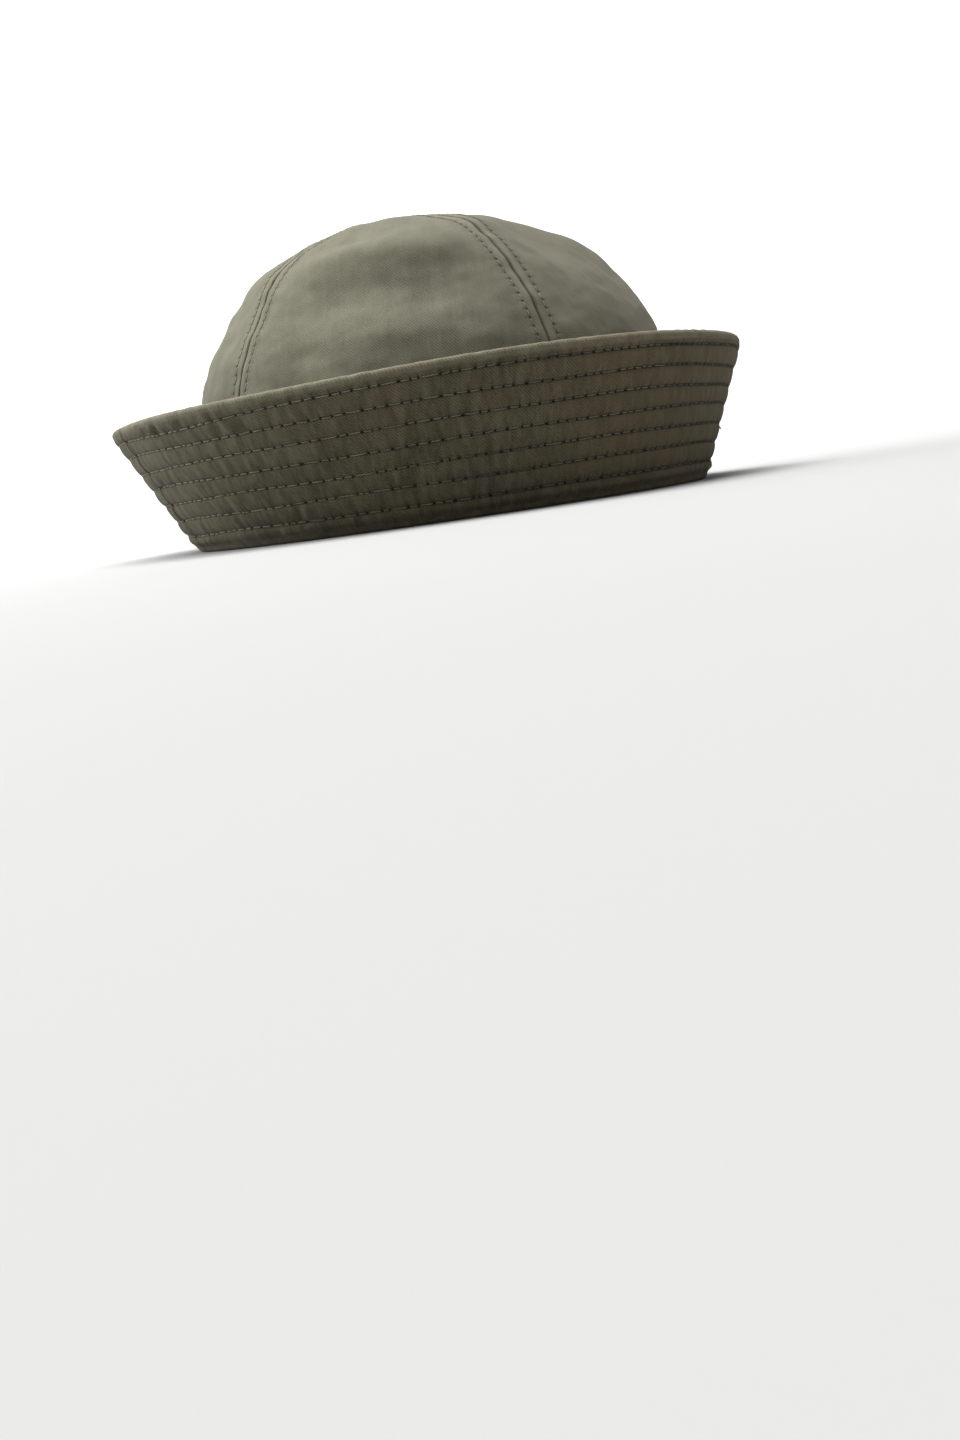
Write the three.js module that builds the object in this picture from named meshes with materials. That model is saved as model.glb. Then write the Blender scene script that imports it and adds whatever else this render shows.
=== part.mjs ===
// Sailor cap of cotton twill: a soft crown of four panels, a quilted brim turned up all round,
// and a tape inside that covers the join of the two.
// Millimetres, +Z up, +X towards the front. The cap rests on the fold of its brim, opening down,
// and the brim's one seam lies at the back, at -X.
import * as THREE from "three";
import { mergeVertices } from "three/addons/utils/BufferGeometryUtils.js";

// Fold: the ring at the bottom, where the brim turns up
const foldHalfLength = 100;
const foldHalfWidth = 97;
const foldRounding = 0.9;
const foldFlatStart = -1.0;
const foldFlatEnd = -3.6;

// Brim: stitched layers of twill, measured up the slope from the fold
const brimWidth = 53;
const brimWall = 3;
const brimEdgeRounding = 0.9;
const brimStart = 3;
const stitchRows = 7;
const firstRow = 7.2;
const rowPitch = 6.9;
const rowSink = 0.3;
const channelPuff = 0.55;
const backSeamAzimuth = 180;
const backSeamSink = 0.85;
const backSeamHalfWidth = 1.3;
const brimColumns = 60;
const backSeamColumns = [-2.4, -0.8, 0.8, 2.4];

// Lip: the short inner leg of the fold, where the crown is sewn on
const lipOuter = -3.5;
const lipInner = -5.3;
const lipTop = 7;
const valleyOutward = -2.5;
const valleyHeight = 3.4;

// Crown: four panels in one soft dome
const clearance = 0.3;
const crownWall = 1.3;
const crownOutward = -4;
const crownTop = 110;
const crownPlumpness = 2.3;
const crownFlatness = 2.22;
const crownTipRadius = 0.8;
const crownCentreHeight = 30;
const crownCalmReach = 0.4;
const topShift = new THREE.Vector2(-8, -2);
const panelPuff = 1.4;
const panelColumns = 12;
const panelRows = 18;

// Sweatband: the tape inside the join, leaning in with the crown
const bandBottom = 1.4;
const bandTop = 25;
const bandBottomOutward = -5.6;
const bandTopOutward = -6.9;
const bandWall = 1;
const bandSections = 3;

// Flare of the brim from upright, in degrees, one row for each eighth of the way round from the front
const brimSections = [
  { azimuth: 0, flare: 29.5 },
  { azimuth: 45, flare: 22 },
  { azimuth: 90, flare: 19.5 },
  { azimuth: 135, flare: 26.5 },
  { azimuth: 180, flare: 27.5 },
  { azimuth: 225, flare: 27.5 },
  { azimuth: 270, flare: 18.5 },
  { azimuth: 315, flare: 16.5 },
];

// Crown panels, each between two seams
const crownPanels = [
  { name: "crown_panel_front_left", seamFrom: 12, seamTo: 105 },
  { name: "crown_panel_back_left", seamFrom: 105, seamTo: 198 },
  { name: "crown_panel_back_right", seamFrom: 198, seamTo: 274 },
  { name: "crown_panel_front_right", seamFrom: 274, seamTo: 372 },
];

// Dents and soft folds of the crown, where a plus push stands out and a minus push goes in
const crownFolds = [
  { azimuth: 190, height: 90, spanAround: 12, spanUp: 8, push: 1.8 },
  { azimuth: 228, height: 102, spanAround: 14, spanUp: 5, push: -1.4 },
  { azimuth: 236, height: 76, spanAround: 26, spanUp: 9, push: -2.6 },
  { azimuth: 240, height: 92, spanAround: 28, spanUp: 6, push: 1.5 },
  { azimuth: 278, height: 99, spanAround: 10, spanUp: 7, push: 1.6 },
  { azimuth: 296, height: 92, spanAround: 9, spanUp: 10, push: -3 },
  { azimuth: 322, height: 88, spanAround: 13, spanUp: 10, push: 1.6 },
  { azimuth: 20, height: 74, spanAround: 12, spanUp: 14, push: -1.8 },
  { azimuth: 62, height: 84, spanAround: 24, spanUp: 10, push: -2.4 },
  { azimuth: 150, height: 80, spanAround: 20, spanUp: 9, push: -2.2 },
];

// Twill of the outside and the darker, worn tape
const brimCloth = { color: 0x5f5c4b, roughness: 0.9, metalness: 0 };
const crownCloth = { color: 0x6b6957, roughness: 0.9, metalness: 0 };
const bandCloth = { color: 0x50493a, roughness: 0.85, metalness: 0 };

const { degToRad, radToDeg, euclideanModulo, lerp, smoothstep } = THREE.MathUtils;

// Smooth value of a table's column at any azimuth, through the rows round the cap
function valueAround(rows, column, azimuth) {
  const place = euclideanModulo(azimuth, 360) / (rows[1].azimuth - rows[0].azimuth);
  const first = Math.floor(place);
  const part = place - first;
  const value = (shift) => rows[euclideanModulo(first + shift, rows.length)][column];
  const rise = value(1) - value(-1);
  const bend = 2 * value(-1) - 5 * value(0) + 4 * value(1) - value(2);
  const twist = 3 * (value(0) - value(1)) + value(2) - value(-1);
  return value(0) + 0.5 * part * (rise + part * (bend + part * twist));
}

// Signed angle between two azimuths, in degrees
function turnBetween(azimuth, other) {
  return euclideanModulo(azimuth - other + 180, 360) - 180;
}

// Bell curve, 1 at nought and falling away over the span
function bell(distance, span) {
  return Math.exp(-((distance / span) ** 2));
}

// Point beside the fold's ring, a distance outwards from its outer face and a height above the floor
function ringPoint(azimuth, outward, height) {
  const turn = degToRad(azimuth);
  const across = new THREE.Vector2(Math.cos(turn) / foldHalfLength, Math.sin(turn) / foldHalfWidth);
  across.normalize();
  return new THREE.Vector3(
    foldHalfLength * Math.cos(turn) + outward * across.x,
    foldHalfWidth * Math.sin(turn) + outward * across.y,
    height,
  );
}

// Closed surface with its shared vertices merged
function closedSurface(geometry) {
  geometry.deleteAttribute("normal");
  geometry.deleteAttribute("uv");
  geometry.clearGroups();
  const surface = mergeVertices(geometry);
  surface.computeVertexNormals();
  return surface;
}

// Ring with a closed section that changes with the azimuth
function ringSurface(rowCount, azimuths, sectionAt) {
  const outline = [];
  for (let row = 0; row <= rowCount; row += 1) {
    const section = sectionAt(row % rowCount, azimuths[0]);
    outline.push(new THREE.Vector2(foldHalfLength + section.x, section.y));
  }
  const geometry = new THREE.LatheGeometry(outline, azimuths.length);
  const { position, uv } = geometry.attributes;
  for (let index = 0; index < position.count; index += 1) {
    const azimuth = azimuths[Math.round(uv.getX(index) * azimuths.length) % azimuths.length];
    const section = sectionAt(Math.round(uv.getY(index) * rowCount) % rowCount, azimuth);
    position.setXYZ(index, ...ringPoint(azimuth, section.x, section.y));
  }
  return closedSurface(geometry);
}

// Rows of the brim's section, in order round it. A wall row has a slope distance and a depth behind
// the outer face, with the side that its puff and its seam sink towards. A fixed row doesn't flare.
function brimRows() {
  const face = [];
  for (let row = 0; row < stitchRows; row += 1) {
    const slope = firstRow + row * rowPitch;
    face.push({ slope, puff: -rowSink });
    if (row < stitchRows - 1) {
      face.push({ slope: slope + rowPitch / 2, puff: channelPuff });
    }
  }
  const outerFace = face.map(({ slope, puff }) => ({ slope, depth: -puff, side: 1 }));
  const innerFace = face.map(({ slope, puff }) => ({ slope, depth: brimWall + puff, side: -1 })).reverse();
  return [
    { slope: brimStart, depth: 0, side: 1 },
    ...outerFace,
    { slope: brimWidth - brimEdgeRounding, depth: 0, side: 1 },
    { slope: brimWidth, depth: brimEdgeRounding, side: 1 },
    { slope: brimWidth, depth: brimWall - brimEdgeRounding, side: -1 },
    { slope: brimWidth - brimEdgeRounding, depth: brimWall, side: -1 },
    ...innerFace,
    { outward: valleyOutward, height: valleyHeight },
    { outward: lipOuter, height: valleyHeight + foldRounding },
    { outward: lipOuter, height: lipTop },
    { outward: lipInner, height: lipTop },
    { outward: lipInner, height: foldRounding },
    { outward: foldFlatEnd - foldRounding, height: foldRounding / 3 },
    { outward: foldFlatEnd, height: 0 },
    { outward: foldFlatStart, height: 0 },
    { outward: 0, height: foldRounding },
  ];
}

// Place of one row of the brim's section, outwards and up, at an azimuth
function brimSection(row, azimuth) {
  if (row.slope === undefined) {
    return new THREE.Vector2(row.outward, row.height);
  }
  const flare = degToRad(valueAround(brimSections, "flare", azimuth));
  const fromSeam = degToRad(turnBetween(azimuth, backSeamAzimuth)) * foldHalfLength;
  const depth = row.depth + row.side * backSeamSink * bell(fromSeam, backSeamHalfWidth);
  return new THREE.Vector2(
    row.slope * Math.sin(flare) - depth * Math.cos(flare),
    row.slope * Math.cos(flare) + depth * Math.sin(flare),
  );
}

// Azimuths of the columns round a ring, with a few more beside the back seam
function columnAzimuths(count, besideSeam) {
  const even = Array.from({ length: count }, (unused, column) => (column * 360) / count);
  const beside = besideSeam.map((turn) => backSeamAzimuth + turn);
  return [...even, ...beside].sort((first, second) => first - second);
}

// Point on the crown's outer face: azimuth, the climb from the lower edge, 0, to the top, 90 degrees,
// and the puff of the panel there
function crownFace(azimuth, climb, puff) {
  const turn = degToRad(climb);
  const reach = Math.cos(turn) ** (2 / crownPlumpness);
  const foot = lipTop + clearance;
  const point = ringPoint(azimuth, crownOutward, foot);
  point.x = lerp(topShift.x, point.x, reach);
  point.y = lerp(topShift.y, point.y, reach);
  point.z += (crownTop - foot) * Math.sin(turn) ** (2 / crownFlatness);
  let push = puff * Math.sin(2 * turn);
  for (const fold of crownFolds) {
    const around = bell(turnBetween(azimuth, fold.azimuth), fold.spanAround);
    push += fold.push * around * bell(point.z - fold.height, fold.spanUp);
  }
  push *= smoothstep(reach, 0, crownCalmReach);
  const outwards = point.clone().sub(new THREE.Vector3(0, 0, crownCentreHeight)).normalize();
  return point.addScaledVector(outwards, push);
}

// Direction straight out of the dome, which neighbouring panels share at their seam
function crownNormal(azimuth, climb) {
  const step = 0.02;
  const along = crownFace(azimuth + step, climb, 0).sub(crownFace(azimuth - step, climb, 0));
  const up = crownFace(azimuth, climb + step, 0).sub(crownFace(azimuth, Math.max(climb - step, 0), 0));
  return along.cross(up).normalize();
}

// Crown panel: a sheet from seam to seam and from the lower edge to the top
function panelSurface({ seamFrom, seamTo }) {
  const lastCosine = (crownTipRadius / foldHalfLength) ** (crownPlumpness / 2);
  const lastClimb = radToDeg(Math.acos(lastCosine));
  const geometry = new THREE.BoxGeometry(1, 1, 1, panelColumns, panelRows, 1);
  const { position } = geometry.attributes;
  for (let index = 0; index < position.count; index += 1) {
    const across = position.getX(index) + 0.5;
    const climb = (position.getY(index) + 0.5) * lastClimb;
    const radius = foldHalfLength * Math.cos(degToRad(climb)) ** (2 / crownPlumpness);
    const seamGap = radToDeg(clearance / 2 / radius);
    const azimuth = lerp(seamFrom + seamGap, seamTo - seamGap, across);
    const point = crownFace(azimuth, climb, panelPuff * Math.sin(Math.PI * across));
    if (position.getZ(index) < 0) {
      point.addScaledVector(crownNormal(azimuth, climb), -crownWall);
    }
    position.setXYZ(index, ...point);
  }
  return closedSurface(geometry);
}

// Place of one row of the sweatband's section: up its outer face, then down its inner face
function bandSection(row) {
  const outer = row < bandSections;
  const rise = (outer ? row : 2 * bandSections - 1 - row) / (bandSections - 1);
  const outward = lerp(bandBottomOutward, bandTopOutward, rise) - (outer ? 0 : bandWall);
  return new THREE.Vector2(outward, lerp(bandBottom, bandTop, rise));
}

function addPiece(name, geometry, cloth) {
  const piece = new THREE.Mesh(geometry, new THREE.MeshStandardMaterial(cloth));
  piece.name = name;
  cap.add(piece);
}

const cap = new THREE.Group();
const section = brimRows();
const brimAzimuths = columnAzimuths(brimColumns, backSeamColumns);
addPiece(
  "brim",
  ringSurface(section.length, brimAzimuths, (row, azimuth) => brimSection(section[row], azimuth)),
  brimCloth,
);
for (const panel of crownPanels) {
  addPiece(panel.name, panelSurface(panel), crownCloth);
}
addPiece(
  "sweatband",
  ringSurface(2 * bandSections, columnAzimuths(brimColumns, []), bandSection),
  bandCloth,
);

// The origin is the middle of the cap's outline, on the floor
const extent = new THREE.Box3().setFromObject(cap);
const middle = extent.getCenter(new THREE.Vector3());
cap.position.set(-middle.x, -middle.y, -extent.min.z);

export default cap;
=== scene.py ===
# Sailor cap of washed twill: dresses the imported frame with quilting, seams, stitches and a soft studio.
# Shapes are worked out in millimetres round the cap's own axis, then placed in the frame in metres.
import math
import bpy
import numpy as np
from mathutils import Matrix, Vector


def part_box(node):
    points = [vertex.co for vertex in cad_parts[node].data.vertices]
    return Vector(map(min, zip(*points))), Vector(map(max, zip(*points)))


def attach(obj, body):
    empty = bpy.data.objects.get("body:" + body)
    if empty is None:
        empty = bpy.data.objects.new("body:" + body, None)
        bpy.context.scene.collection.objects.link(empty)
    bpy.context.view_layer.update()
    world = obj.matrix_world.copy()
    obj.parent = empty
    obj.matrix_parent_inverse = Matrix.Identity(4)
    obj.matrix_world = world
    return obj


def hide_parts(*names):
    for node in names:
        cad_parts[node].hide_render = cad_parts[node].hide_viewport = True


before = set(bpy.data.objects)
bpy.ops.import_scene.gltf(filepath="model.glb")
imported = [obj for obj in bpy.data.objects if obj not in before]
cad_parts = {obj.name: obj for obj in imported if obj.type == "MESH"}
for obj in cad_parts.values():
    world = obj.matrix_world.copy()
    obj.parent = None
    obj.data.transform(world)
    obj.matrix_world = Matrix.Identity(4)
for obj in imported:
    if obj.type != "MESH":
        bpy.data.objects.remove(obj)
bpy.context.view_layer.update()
print("frame loaded with", len(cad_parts), "nodes")
mm = 0.001
fullTurn = 2 * math.pi
farOff = 9.0  # millimetres, further than any needle hole shows
bandLow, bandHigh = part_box("sweatband")
capAxis = np.array([(bandLow[0] + bandHigh[0]) / 2, (bandLow[1] + bandHigh[1]) / 2, 0]) / mm
bandInset = 5.6  # from the fold's outer face to the sweatband's

fold = {
    "halfLength": (bandHigh[0] - bandLow[0]) / 2 / mm + bandInset,
    "halfWidth": (bandHigh[1] - bandLow[1]) / 2 / mm + bandInset,
}


# Small maths shared by the pieces

def bell(distance, span):
    return np.exp(-(distance / span) ** 2)


def smooth(value, low, high):
    part = np.clip((value - low) / (high - low), 0, 1)
    return part * part * (3 - 2 * part)


def turnBetween(azimuth, other):
    return (azimuth - other + math.pi) % fullTurn - math.pi


def ripples(azimuth, fewest, most, seed, count=18):
    # waves that close on themselves round the cap, about 1 high
    draw = np.random.default_rng(seed)
    waves = draw.integers(fewest, most + 1, count)
    starts = draw.uniform(0, fullTurn, count)
    total = sum(np.sin(wave * azimuth + start) for wave, start in zip(waves, starts))
    return total / math.sqrt(count / 2)


def clothNoise(points, wavelength, seed, count=22, shortest=0.7, longest=1.6):
    # soft uneven field through space, about 1 high, from waves of mixed lengths
    draw = np.random.default_rng(seed)
    aims = draw.normal(size=(count, 3))
    aims /= np.linalg.norm(aims, axis=1)[:, None]
    lengths = wavelength * draw.uniform(shortest, longest, count)
    starts = draw.uniform(0, fullTurn, count)
    total = sum(np.sin(points @ aim * (fullTurn / length) + start)
                for aim, length, start in zip(aims, lengths, starts))
    return total / math.sqrt(count / 2)


def aroundTable(values, azimuth):
    # smooth value through entries spaced evenly round the cap
    place = np.mod(azimuth, fullTurn) / fullTurn * len(values)
    first = np.floor(place).astype(int)
    part = place - first
    table = np.asarray(values, float)
    before, start, end, after = (table[(first + shift) % len(values)] for shift in (-1, 0, 1, 2))
    bend = 2 * before - 5 * start + 4 * end - after
    twist = 3 * (start - end) + after - before
    return start + 0.5 * part * (end - before + part * (bend + part * twist))


def ringPoints(azimuth, outward, height):
    azimuth, outward, height = np.broadcast_arrays(azimuth, outward, height)
    across, along = np.cos(azimuth), np.sin(azimuth)
    normalX, normalY = across / fold["halfLength"], along / fold["halfWidth"]
    size = np.hypot(normalX, normalY)
    return np.stack([fold["halfLength"] * across + outward * normalX / size,
                     fold["halfWidth"] * along + outward * normalY / size, height], -1)


# Making meshes from arrays

def addMesh(name, points, quads, grids, masks, material, nodes=()):
    mesh = bpy.data.meshes.new(name)
    placed = (points.reshape(-1, 3) + capAxis) * mm
    mesh.from_pydata(placed.tolist(), [], quads.tolist())
    for grid, corners in grids.items():
        layer = mesh.uv_layers.new(name=grid)
        layer.data.foreach_set("uv", np.ascontiguousarray(corners, np.float32).ravel())
    for mask, values in masks.items():
        data = mesh.attributes.new(mask, "FLOAT", "POINT").data
        data.foreach_set("value", np.ascontiguousarray(values, np.float32).ravel())
    mesh.shade_smooth()
    mesh.materials.append(material)
    piece = bpy.data.objects.new(name, mesh)
    bpy.context.collection.objects.link(piece)
    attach(piece, "root")
    if nodes:
        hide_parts(*nodes)
    print(name, len(quads) * 2, "triangles")


def ringQuads(rows, columns):
    row, column = np.meshgrid(np.arange(rows), np.arange(columns), indexing="ij")
    nextRow, nextColumn = (row + 1) % rows, (column + 1) % columns
    corners = (row, column), (row, nextColumn), (nextRow, nextColumn), (nextRow, column)
    return np.stack([r * columns + c for r, c in corners], -1).reshape(-1, 4)


def cornerPairs(along, up):
    # values at each quad's four corners, from grids one row and one column larger than the quads
    pair = np.stack(np.broadcast_arrays(along, up), -1)
    return np.stack([pair[:-1, :-1], pair[:-1, 1:], pair[1:, 1:], pair[1:, :-1]], 2).reshape(-1, 4, 2)


def addStitches(name, starts, ends, lifts, radius):
    # one short thread for each stitch, its ends pulled down into the cloth
    starts, ends, lifts = np.concatenate(starts), np.concatenate(ends), np.concatenate(lifts)
    alongAt = np.array([0, 0.1, 0.3, 0.7, 0.9, 1])
    raised = np.array([-0.9, 0.0, 0.4, 0.4, 0.0, -0.9]) * radius
    thick = np.array([0.6, 0.92, 1, 1, 0.92, 0.6]) * radius
    sides = 6
    span = ends - starts
    beside = np.cross(lifts, span)
    beside /= np.linalg.norm(beside, axis=1)[:, None]
    angles = np.arange(sides) / sides * fullTurn
    centres = (starts[:, None] + span[:, None] * alongAt[None, :, None]
               + lifts[:, None] * raised[None, :, None])
    circle = (np.cos(angles)[None, None, :, None] * beside[:, None, None]
              + np.sin(angles)[None, None, :, None] * lifts[:, None, None])
    points = centres[:, :, None] + circle * thick[None, :, None, None]
    ring, side = np.meshgrid(np.arange(len(alongAt) - 1), np.arange(sides), indexing="ij")
    after = (side + 1) % sides
    wall = np.stack([ring * sides + side, ring * sides + after,
                     (ring + 1) * sides + after, (ring + 1) * sides + side], -1).reshape(-1, 4)
    cap = np.array([[0, 1, 2, 3], [0, 3, 4, 5]])
    caps = np.concatenate([cap[:, ::-1], cap + (len(alongAt) - 1) * sides])
    one = np.concatenate([wall, caps])
    firsts = np.arange(len(starts)) * len(alongAt) * sides
    quads = (one[None] + firsts[:, None, None]).reshape(-1, 4)
    length = np.linalg.norm(span, axis=1).mean()
    local = np.stack([np.repeat(alongAt * length, sides), np.tile(angles, len(alongAt))], -1)
    grids = {"clothGrain": np.tile(local[one], (len(starts), 1, 1))}
    addMesh(name, points, quads, grids, {}, cottonThread)


# Shader node groups

def newGroup(name, inputs, outputs):
    group = bpy.data.node_groups.new(name, "ShaderNodeTree")
    for label, value in inputs.items():
        socket = group.interface.new_socket(label, in_out="INPUT", socket_type="NodeSocketFloat")
        socket.default_value = value
    for label in outputs:
        group.interface.new_socket(label, in_out="OUTPUT", socket_type="NodeSocketFloat")
    given = group.nodes.new("NodeGroupInput").outputs
    return group, given, group.nodes.new("NodeGroupOutput").inputs


def feed(tree, socket, value):
    if isinstance(value, bpy.types.NodeSocket):
        tree.links.new(value, socket)
    else:
        socket.default_value = value


def sums(tree, operation, first, second=0.0, third=0.0):
    node = tree.nodes.new("ShaderNodeMath")
    node.operation = operation
    for socket, value in zip(node.inputs, (first, second, third)):
        feed(tree, socket, value)
    return node.outputs[0]


def times(tree, first, second):
    return sums(tree, "MULTIPLY", first, second)


def wave(tree, phase):
    # 0 to 1 and back, once for each whole number
    return sums(tree, "MULTIPLY_ADD", sums(tree, "SINE", times(tree, phase, fullTurn)), 0.5, 0.5)


def noiseAt(tree, vector, scale, detail=2.0, rough=0.5):
    node = tree.nodes.new("ShaderNodeTexNoise")
    feed(tree, node.inputs["Vector"], vector)
    feed(tree, node.inputs["Scale"], scale)
    node.inputs["Detail"].default_value = detail
    node.inputs["Roughness"].default_value = rough
    return node.outputs["Fac"]


def ramp(tree, value, low, high, toLow=0.0, toHigh=1.0):
    node = tree.nodes.new("ShaderNodeMapRange")
    for label, given in (("Value", value), ("From Min", low), ("From Max", high),
                         ("To Min", toLow), ("To Max", toHigh)):
        feed(tree, node.inputs[label], given)
    return node.outputs["Result"]


def stretched(tree, vector, scale):
    node = tree.nodes.new("ShaderNodeMapping")
    feed(tree, node.inputs["Vector"], vector)
    node.inputs["Scale"].default_value = scale
    return node.outputs["Vector"]


def gridVector(tree, grid):
    node = tree.nodes.new("ShaderNodeUVMap")
    node.uv_map = grid
    return node.outputs["UV"]


def splitVector(tree, vector):
    node = tree.nodes.new("ShaderNodeSeparateXYZ")
    feed(tree, node.inputs[0], vector)
    return node.outputs["X"], node.outputs["Y"]


def objectVector(tree):
    return tree.nodes.new("ShaderNodeTexCoord").outputs["Object"]


# In the settings below, a range is spread from its first number to its second onto 0 to 1,
# or onto its third and fourth where it has four

twill = {
    "slope": (0.74, 0.67),  # of the wales, along and up the cloth
    "wander": (0.45, 3, 0.6), "fuzz": (2.6, 3, 0.65),  # scale, detail and roughness of each noise
    "yarnPitch": 0.62, "yarnHeight": 0.16, "waleHeight": 0.7,
    "slubStretch": (0.9, 0.12, 1), "slubHeight": 0.5, "slubShare": 0.6,
    "fuzzRange": (0.35, 0.65, 0.5, 1.0),
}


def makeTwillGroup():
    # diagonal wales of the twill, broken up by single yarns, from the cloth's own grain in millimetres
    group, given, out = newGroup("twillWeave", {"Pitch": 0.85, "Uneven": 0.5}, ["Height", "Wale"])
    grain = gridVector(group, "clothGrain")
    along, up = splitVector(group, grain)
    diagonal = sums(group, "MULTIPLY_ADD", along, twill["slope"][0], times(group, up, twill["slope"][1]))
    wander = times(group, noiseAt(group, grain, *twill["wander"]), given["Uneven"])
    wale = wave(group, sums(group, "ADD", sums(group, "DIVIDE", diagonal, given["Pitch"]), wander))
    yarn = wave(group, sums(group, "DIVIDE", up, times(group, given["Pitch"], twill["yarnPitch"])))
    slub = noiseAt(group, stretched(group, grain, twill["slubStretch"]), 1.0)
    woven = sums(group, "MULTIPLY_ADD", yarn, twill["yarnHeight"], times(group, wale, twill["waleHeight"]))
    group.links.new(sums(group, "MULTIPLY_ADD", slub, twill["slubHeight"], woven), out["Height"])
    fuzz = ramp(group, noiseAt(group, grain, *twill["fuzz"]), *twill["fuzzRange"])
    raised = sums(group, "ADD", wale, times(group, slub, twill["slubShare"]))
    group.links.new(times(group, raised, fuzz), out["Wale"])
    return group


washing = {
    "clouds": (5, 0.68), "drawnOut": (4, 0.6), "streaks": (3, 0.6),  # detail and roughness of each noise
    "cloudShare": 0.45, "drawnOutShare": 0.55, "drawnOutStretch": (0.16, 0.05, 1),
    "streakStretch": (0.34, 0.085, 1),
    "specks": (1.9, 2, 0.7),  # scale, detail and roughness
    "tintStretch": (1, 1, 1.6), "tintScale": 0.4, "tintSpread": 0.5, "tintBase": 0.25,
    "warmBounceSlope": 1.5,  # for each metre to the right, so the right is browner: painted warm bounce light
    "patchRange": (0.4, 0.6), "streakRange": (0.42, 0.66),
    "tintRange": (0.37, 0.58), "speckRange": (0.4, 0.75),
}


def makeFadeGroup():
    # washed-out patches drawn out along the yarns, pale streaks, a change of tint and fine specks; the tint
    # grows browner towards the right as painted warm bounce light
    group, given, out = newGroup("clothFade", {"Patch": 22.0, "Streak": 1.0},
                                 ["Patches", "Streaks", "Tint", "Specks"])
    place = objectVector(group)
    grain = gridVector(group, "clothGrain")
    clouds = noiseAt(group, place, given["Patch"], *washing["clouds"])
    drawn = stretched(group, grain, washing["drawnOutStretch"])
    drawnOut = noiseAt(group, drawn, given["Streak"], *washing["drawnOut"])
    cloudy = times(group, clouds, washing["cloudShare"])
    patches = sums(group, "MULTIPLY_ADD", drawnOut, washing["drawnOutShare"], cloudy)
    streaky = stretched(group, grain, washing["streakStretch"])
    streaks = noiseAt(group, streaky, given["Streak"], *washing["streaks"])
    tintScale = times(group, given["Patch"], washing["tintScale"])
    tint = noiseAt(group, stretched(group, place, washing["tintStretch"]), tintScale)
    tint = sums(group, "MULTIPLY_ADD", tint, washing["tintSpread"], washing["tintBase"])
    # painted warm bounce light: browner towards the right
    tint = sums(group, "MULTIPLY_ADD", splitVector(group, place)[0], washing["warmBounceSlope"], tint)
    specks = noiseAt(group, grain, *washing["specks"])
    for value, bounds, label in ((patches, "patchRange", "Patches"), (streaks, "streakRange", "Streaks"),
                                 (tint, "tintRange", "Tint"), (specks, "speckRange", "Specks")):
        group.links.new(ramp(group, value, *washing[bounds]), out[label])
    return group


# shares of the painted seam shade and of the pale edges, which are wear and painted highlight
shadingAndWear = {"breaks": (3, 0.6), "breakRange": (0.3, 0.7), "SeamShade": (0.75, 1.15), "WearAndHighlight": (0.35, 1.25)}


def makeShadeAndWearGroup():
    # painted shade, dark in the seams; pale on the edges, partly wear and partly painted highlight
    group, given, out = newGroup("seamShadeAndWear", {"Break up": 140.0}, ["SeamShade", "WearAndHighlight"])
    broken = noiseAt(group, objectVector(group), given["Break up"], *shadingAndWear["breaks"])
    for mask, label in (("seamShade", "SeamShade"), ("wearAndHighlight", "WearAndHighlight")):
        node = group.nodes.new("ShaderNodeAttribute")
        node.attribute_name = mask
        share = ramp(group, broken, *shadingAndWear["breakRange"], *shadingAndWear[label])
        group.links.new(times(group, node.outputs["Fac"], share), out[label])
    return group


pricking = {
    "softEdge": 1.6, "hardEdge": 0.7,  # in hole sizes
    "pullAlong": (0.7, 0.1), "pullAway": (2.8, 0.4, 0.0, 0.5), "pullSide": (-0.1, 0.3),
    "grooveShadeRange": (0.75, 0.3), "grooveShadeGrowth": (-0.05, 0.07, 0.7, 1.4),  # painted groove shade, darker towards the right
}


def makeHoleGroup():
    # pricks of the needle along each stitch row, a short pull beside each, and the sunk line between them;
    # their darkening is painted shade, the line's growing darker towards the right
    group, given, out = newGroup("needleHoles", {"Spacing": 4.2, "Size": 0.5}, ["Hole", "Line"])
    along, beside = splitVector(group, gridVector(group, "stitchGrid"))
    fromHole = times(group, sums(group, "PINGPONG", along, 0.5), given["Spacing"])
    away = sums(group, "ABSOLUTE", beside)
    squares = sums(group, "ADD", times(group, fromHole, fromHole), times(group, away, away))
    reach = sums(group, "SQRT", squares)
    softEdge = times(group, given["Size"], pricking["softEdge"])
    hole = ramp(group, reach, softEdge, times(group, given["Size"], pricking["hardEdge"]))
    pull = ramp(group, fromHole, *pricking["pullAlong"])
    pull = times(group, pull, ramp(group, beside, *pricking["pullAway"]))
    pull = times(group, pull, ramp(group, beside, *pricking["pullSide"]))
    group.links.new(sums(group, "MAXIMUM", hole, pull), out["Hole"])
    # painted groove shade grows darker towards the right
    shadeToRight = ramp(group, splitVector(group, objectVector(group))[0], *pricking["grooveShadeGrowth"])
    group.links.new(times(group, ramp(group, away, *pricking["grooveShadeRange"]), shadeToRight), out["Line"])
    return group


twillGroup = makeTwillGroup()
fadeGroup = makeFadeGroup()
shadeAndWearGroup = makeShadeAndWearGroup()
holeGroup = makeHoleGroup()


# Materials

def placeGroup(tree, group, **values):
    node = tree.nodes.new("ShaderNodeGroup")
    node.node_tree = group
    for label, value in values.items():
        node.inputs[label.replace("_", " ")].default_value = value
    return node.outputs


def mixColours(tree, share, first, second):
    # the node's colour sockets go by number, as their names are shared with other kinds
    node = tree.nodes.new("ShaderNodeMix")
    node.data_type = "RGBA"
    feed(tree, node.inputs["Factor"], share)
    feed(tree, node.inputs[6], first)
    feed(tree, node.inputs[7], second)
    return node.outputs[2]


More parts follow.
